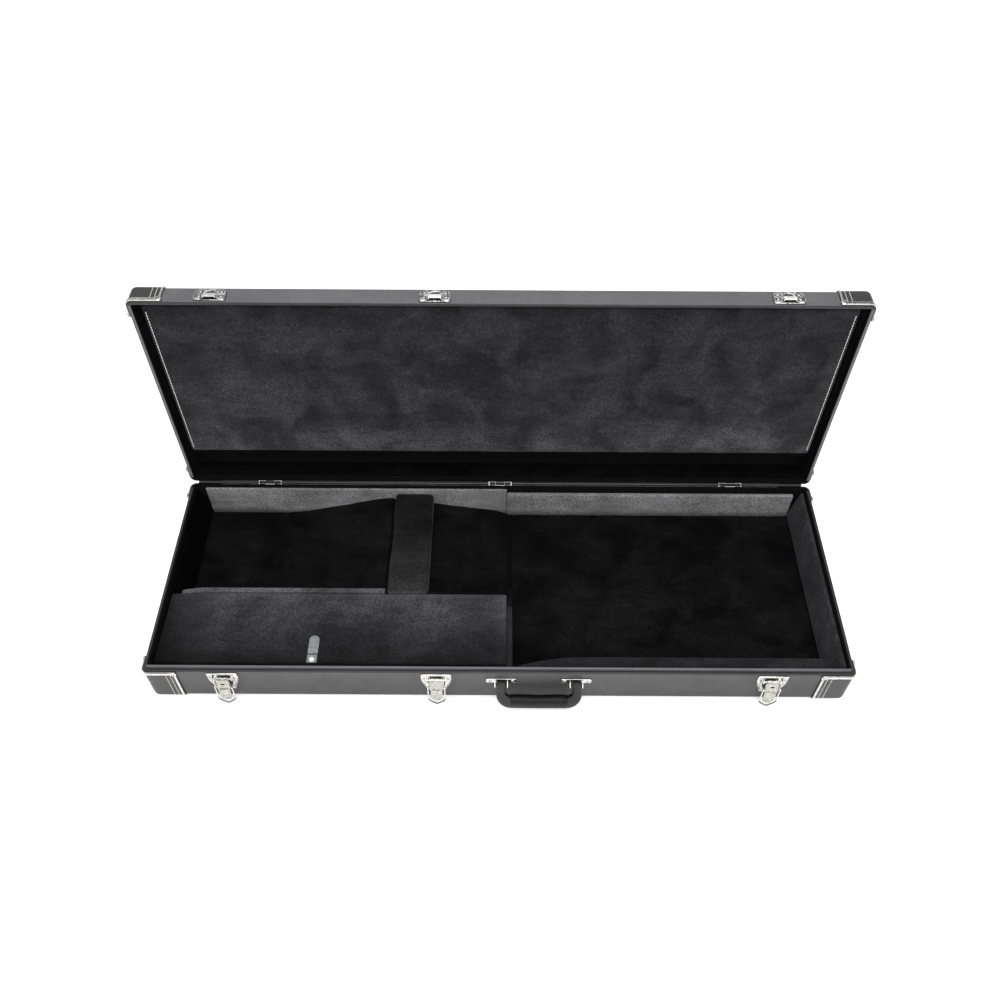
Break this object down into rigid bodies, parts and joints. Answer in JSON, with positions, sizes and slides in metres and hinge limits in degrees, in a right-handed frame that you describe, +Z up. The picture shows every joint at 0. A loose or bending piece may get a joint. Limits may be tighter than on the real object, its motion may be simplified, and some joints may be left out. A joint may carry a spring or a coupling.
{
  "type": "guitar case",
  "caption": "Long rectangular hard case with a hinged lid, plush-lined well, neck rest, lidded accessory compartment, draw latches, corner guards and a carrying handle.",
  "frame": {"origin": "centre of the base's underside, on the surface that the case lies on", "axes": "+X along the case towards the body end, +Y from the handle side to the hinge side, +Z up out of the base"},
  "size_m": [1.0566, 0.4384, 0.4552],
  "materials": {
    "vinyl": "grained vinyl cloth over plywood",
    "plush": "short-pile black plush",
    "leatherette": "black leatherette, stitched",
    "chrome": "bright nickel and chrome plate",
    "leather": "grey leather"
  },
  "bodies": {
    "base": {"base_bottom": "vinyl", "base_corner_back_left": "leatherette", "base_corner_back_right": "leatherette", "base_corner_front_left": "leatherette", "base_corner_front_right": "leatherette", "base_corner_trim_back_left": "chrome", "base_corner_trim_back_right": "chrome", "base_corner_trim_front_left": "chrome", "base_corner_trim_front_right": "chrome", "base_frame": "vinyl", "base_valance": "vinyl", "body_floor_pad": "plush", "compartment_end_wall": "plush", "compartment_front_ledge": "plush", "compartment_hinge_tape": "plush", "compartment_rear_wall": "plush", "front_bolster": "plush", "handle_bracket_left": "chrome", "handle_bracket_right": "chrome", "hinge_base_leaf_left": "chrome", "hinge_base_leaf_middle": "chrome", "hinge_base_leaf_right": "chrome", "latch_plate_left": "chrome", "latch_plate_middle": "chrome", "latch_plate_right": "chrome", "left_end_pad": "plush", "neck_floor_pad": "plush", "neck_ramp": "plush", "neck_rest": "plush", "rear_body_pad": "plush", "rear_neck_pad": "plush", "right_end_pad": "plush"},
    "lid": {"hinge_lid_leaf_left": "chrome", "hinge_lid_leaf_middle": "chrome", "hinge_lid_leaf_right": "chrome", "lid_corner_back_left": "leatherette", "lid_corner_back_right": "leatherette", "lid_corner_front_left": "leatherette", "lid_corner_front_right": "leatherette", "lid_corner_trim_back_left": "chrome", "lid_corner_trim_back_right": "chrome", "lid_corner_trim_front_left": "chrome", "lid_corner_trim_front_right": "chrome", "lid_frame": "vinyl", "lid_pad": "plush", "lid_strike_left": "chrome", "lid_strike_middle": "chrome", "lid_strike_right": "chrome", "lid_top_panel": "vinyl", "lid_wall_lining": "plush"},
    "compartment_lid": {"compartment_lid": "plush", "tab_rivet": "leather"},
    "pull_tab": {"pull_tab": "leather"},
    "handle": {"handle_grip": "leatherette"},
    "latch_lever_left": {"latch_lever_left": "chrome"},
    "latch_bail_left": {"latch_bail_left": "chrome"},
    "latch_lever_middle": {"latch_lever_middle": "chrome"},
    "latch_bail_middle": {"latch_bail_middle": "chrome"},
    "latch_lever_right": {"latch_lever_right": "chrome"},
    "latch_bail_right": {"latch_bail_right": "chrome"}
  },
  "joints": [
    {"name": "lid_hinge", "type": "hinge", "parent": "base", "child": "lid", "pos_m": [0, 0.1882, 0.0725], "axis": [-1, 0, 0], "range_deg": [-90, 0]},
    {"name": "compartment_lid_hinge", "type": "hinge", "parent": "base", "child": "compartment_lid", "pos_m": [0, -0.038, 0.066], "axis": [-1, 0, 0], "range_deg": [0, 95]},
    {"name": "pull_tab_fold", "type": "hinge", "parent": "compartment_lid", "child": "pull_tab", "pos_m": [-0.279, -0.1502, 0.0672], "axis": [1, 0, 0], "range_deg": [0, 110]},
    {"name": "handle_pivot", "type": "hinge", "parent": "base", "child": "handle", "pos_m": [0.06, -0.193, 0.053], "axis": [-1, 0, 0], "range_deg": [0, 115]},
    {"name": "latch_lever_left_pivot", "type": "hinge", "parent": "base", "child": "latch_lever_left", "pos_m": [-0.409, -0.1915, 0.062], "axis": [-1, 0, 0], "range_deg": [-4, 84]},
    {"name": "latch_bail_left_pivot", "type": "hinge", "parent": "latch_lever_left", "child": "latch_bail_left", "pos_m": [-0.409, -0.19611, 0.04628], "axis": [1, 0, 0], "range_deg": [-184, 0]},
    {"name": "latch_lever_middle_pivot", "type": "hinge", "parent": "base", "child": "latch_lever_middle", "pos_m": [-0.093, -0.1915, 0.062], "axis": [-1, 0, 0], "range_deg": [-4, 84]},
    {"name": "latch_bail_middle_pivot", "type": "hinge", "parent": "latch_lever_middle", "child": "latch_bail_middle", "pos_m": [-0.093, -0.19611, 0.04628], "axis": [1, 0, 0], "range_deg": [-184, 0]},
    {"name": "latch_lever_right_pivot", "type": "hinge", "parent": "base", "child": "latch_lever_right", "pos_m": [0.405, -0.1915, 0.062], "axis": [-1, 0, 0], "range_deg": [-4, 84]},
    {"name": "latch_bail_right_pivot", "type": "hinge", "parent": "latch_lever_right", "child": "latch_bail_right", "pos_m": [0.405, -0.19611, 0.04628], "axis": [1, 0, 0], "range_deg": [-184, 0]}
  ]
}
